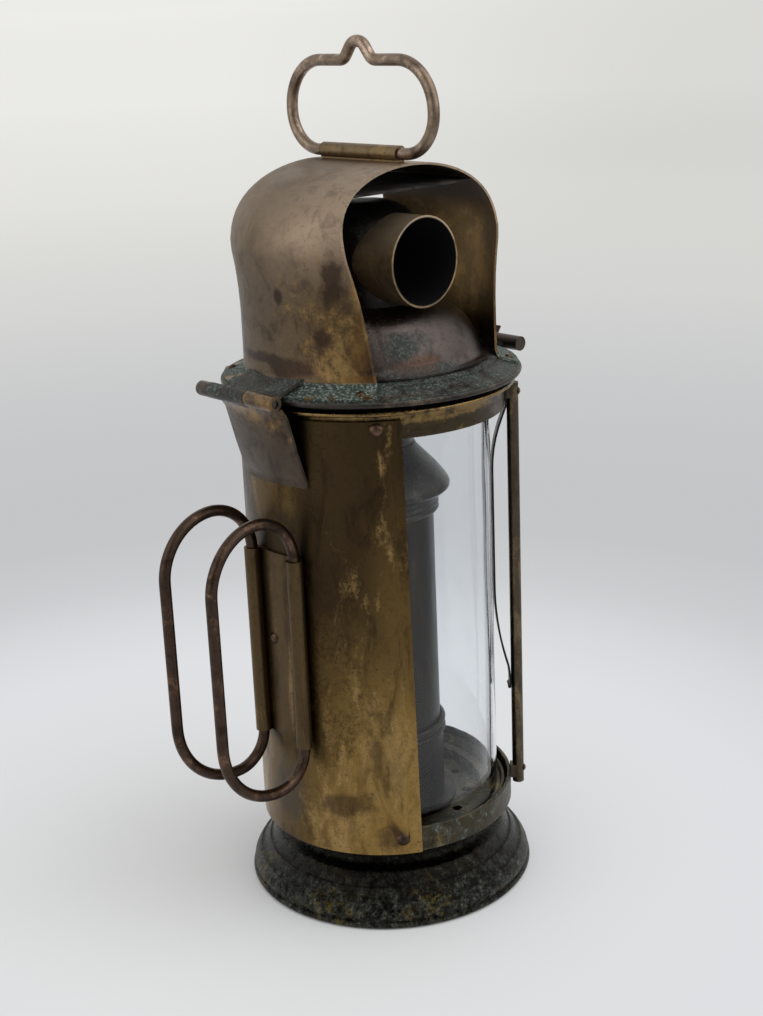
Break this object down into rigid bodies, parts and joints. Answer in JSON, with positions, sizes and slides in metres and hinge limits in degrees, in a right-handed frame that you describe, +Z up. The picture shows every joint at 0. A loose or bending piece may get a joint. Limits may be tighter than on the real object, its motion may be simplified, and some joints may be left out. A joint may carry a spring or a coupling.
{
  "type": "ship lantern",
  "caption": "Hand-carried candle lantern with round glass, brass back shell, hinged hooded lid with smoke stack and cross vent, wire bail and folding back handles.",
  "frame": {"origin": "centre of the lantern's underside, on the axis of its round body", "axes": "+Z up along the body's axis; +Y towards the back with the lid hinge and the folding handles, -Y towards the open front of the glass; +X towards the right seen from the front"},
  "size_m": [0.104, 0.1474, 0.2982],
  "materials": {
    "dark_patina": "dark green-black patina",
    "aged_brass": "aged, stained brass with worn golden patches",
    "hood_brass": "smooth brown-grey tarnished brass",
    "copper": "purple-brown copper with verdigris",
    "verdigris": "granular verdigris over dark brass",
    "wire": "dark coppery brown wire, rubbed smooth",
    "black_sheet": "sooty black sheet",
    "tube_metal": "dull grey-brown tinned sheet",
    "spring_steel": "plain spring steel",
    "clear_glass": "clear old glass",
    "wax": "candle wax, soft sheen",
    "wick": "braided cotton"
  },
  "bodies": {
    "lantern_body": {"foot": "dark_patina", "foot_edge_wire": "wire", "base_plate": "dark_patina", "pan": "aged_brass", "glass_seat": "tube_metal", "candle_socket": "tube_metal", "shell": "aged_brass", "shell_rivets": "wire", "collar": "aged_brass", "guard_posts": "wire", "post_rivets": "wire", "glass": "clear_glass", "glass_springs": "black_sheet", "candle_tube": "tube_metal", "candle_spring": "spring_steel", "hinge_apron": "aged_brass", "hinge_pin": "wire", "catch_clip": "wire", "handle_mount": "aged_brass", "handle_rivet": "wire"},
    "lid": {"flange": "verdigris", "flange_spigot": "black_sheet", "lid_leaf": "verdigris", "lid_rivets": "wire", "dome": "copper", "stack": "black_sheet", "cross_vent": "hood_brass", "hood": "hood_brass", "hood_baffle": "black_sheet", "bail_bracket": "aged_brass", "catch_bar": "verdigris"},
    "bail": {"bail": "wire"},
    "left_handle": {"handle_left": "wire"},
    "right_handle": {"handle_right": "wire"},
    "burner_cap": {"tube_cap": "black_sheet"},
    "candle_feed": {"follower": "tube_metal", "candle": "wax", "wick": "wick"}
  },
  "joints": [
    {"name": "lid_hinge", "type": "hinge", "parent": "lantern_body", "child": "lid", "pos_m": [0, 0.0558, 0.1888], "axis": [-1, 0, 0], "range_deg": [0, 110]},
    {"name": "bail_swing", "type": "hinge", "parent": "lid", "child": "bail", "pos_m": [0, 0, 0.2612], "axis": [1, 0, 0], "range_deg": [-85, 85]},
    {"name": "left_handle_swing", "type": "hinge", "parent": "lantern_body", "child": "left_handle", "pos_m": [-0.01101, 0.04806, 0.0998], "axis": [0, 0, 1], "range_deg": [-18, 105]},
    {"name": "right_handle_swing", "type": "hinge", "parent": "lantern_body", "child": "right_handle", "pos_m": [0.01101, 0.04806, 0.0998], "axis": [0, 0, -1], "range_deg": [-12, 111]},
    {"name": "cap_twist", "type": "hinge", "parent": "lantern_body", "child": "burner_cap", "pos_m": [0, 0, 0.14], "axis": [0, 0, 1], "range_deg": [0, 45]},
    {"name": "candle_push", "type": "slide", "parent": "lantern_body", "child": "candle_feed", "axis": [0, 0, -1], "range_m": [0, 0.03], "deforming": ["candle_spring"]}
  ]
}
